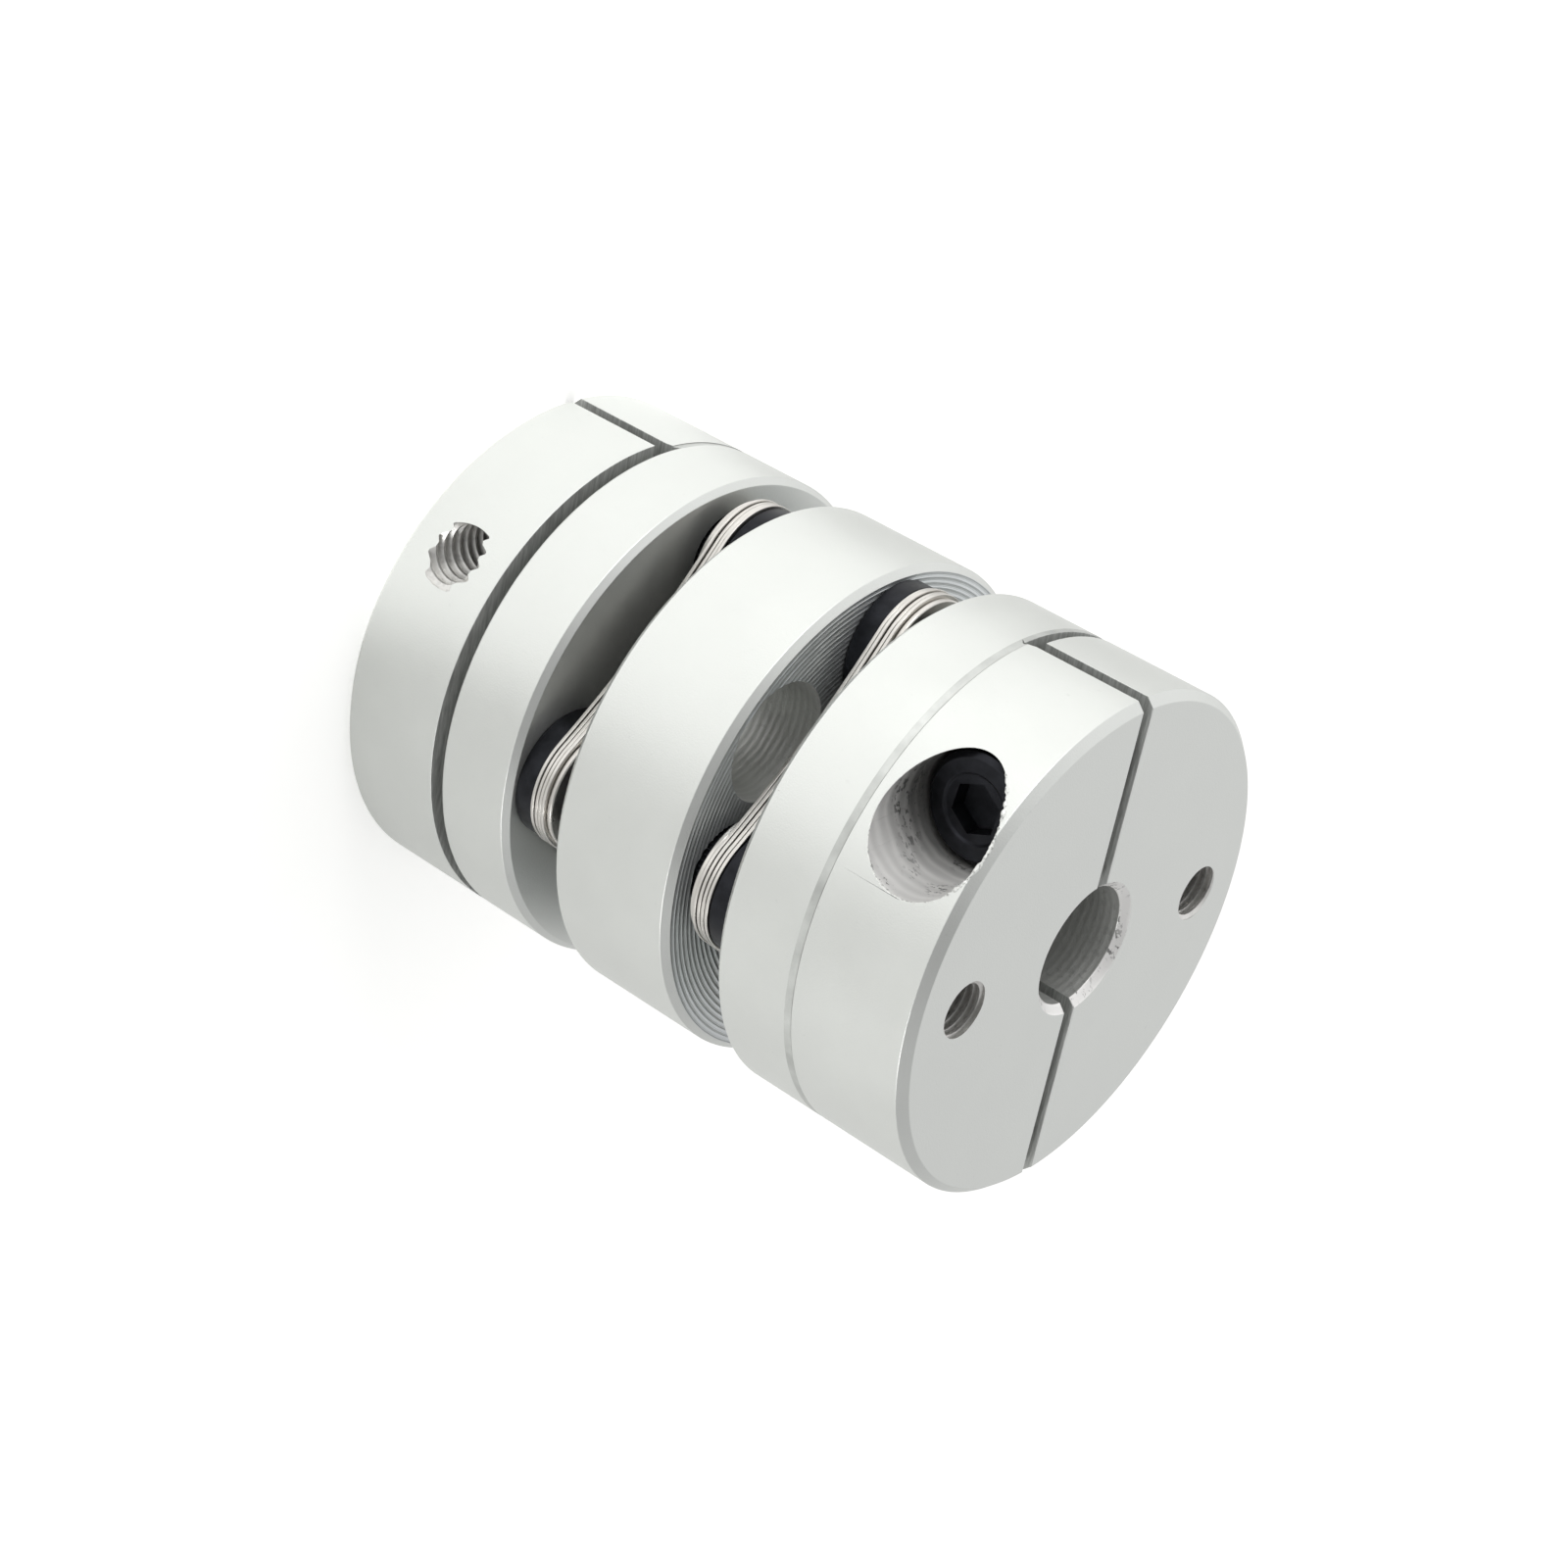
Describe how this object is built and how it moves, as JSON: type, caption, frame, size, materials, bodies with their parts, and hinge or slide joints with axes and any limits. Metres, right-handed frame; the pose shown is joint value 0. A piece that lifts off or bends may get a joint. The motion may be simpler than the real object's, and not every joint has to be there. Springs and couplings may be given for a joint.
{
  "type": "diaphragm coupling",
  "caption": "Flexible shaft coupling: two split clamp hubs joined through laminated steel disc packs to a centre spacer.",
  "frame": {"origin": "centre of the lower hub's end face, on the shaft axis; the coupling stands on that face", "axes": "+Z along the shaft axis towards the other hub; +X along the split of the hubs, towards both clamp screws; +Y towards the open side of the top clamp screw's head"},
  "size_m": [0.034, 0.034, 0.047],
  "materials": {
    "hub_aluminium": "bead-blasted and clear anodised",
    "spacer_aluminium": "bead-blasted and clear anodised, faces turned",
    "spring_steel": "cold-rolled bright stainless spring strip",
    "black_oxide_screw": "black oxide on alloy steel",
    "black_oxide_ring": "black oxide on turned steel"
  },
  "bodies": {
    "root": {"top_hub": "hub_aluminium", "bottom_hub": "hub_aluminium", "centre_spacer": "spacer_aluminium", "top_clamp_screw": "black_oxide_screw", "bottom_clamp_screw": "black_oxide_screw", "upper_disc_1": "spring_steel", "upper_disc_2": "spring_steel", "upper_disc_3": "spring_steel", "upper_disc_4": "spring_steel", "lower_disc_1": "spring_steel", "lower_disc_2": "spring_steel", "lower_disc_3": "spring_steel", "lower_disc_4": "spring_steel", "upper_disc_screw_1": "black_oxide_screw", "upper_disc_screw_2": "black_oxide_screw", "upper_disc_screw_3": "black_oxide_screw", "upper_disc_screw_4": "black_oxide_screw", "lower_disc_screw_1": "black_oxide_screw", "lower_disc_screw_2": "black_oxide_screw", "lower_disc_screw_3": "black_oxide_screw", "lower_disc_screw_4": "black_oxide_screw", "upper_collar_1": "black_oxide_ring", "upper_collar_2": "black_oxide_ring", "upper_collar_3": "black_oxide_ring", "upper_collar_4": "black_oxide_ring", "lower_collar_1": "black_oxide_ring", "lower_collar_2": "black_oxide_ring", "lower_collar_3": "black_oxide_ring", "lower_collar_4": "black_oxide_ring", "upper_washer_1": "spring_steel", "upper_washer_2": "spring_steel", "upper_washer_3": "spring_steel", "upper_washer_4": "spring_steel", "lower_washer_1": "spring_steel", "lower_washer_2": "spring_steel", "lower_washer_3": "spring_steel", "lower_washer_4": "spring_steel"}
  },
  "joints": []
}
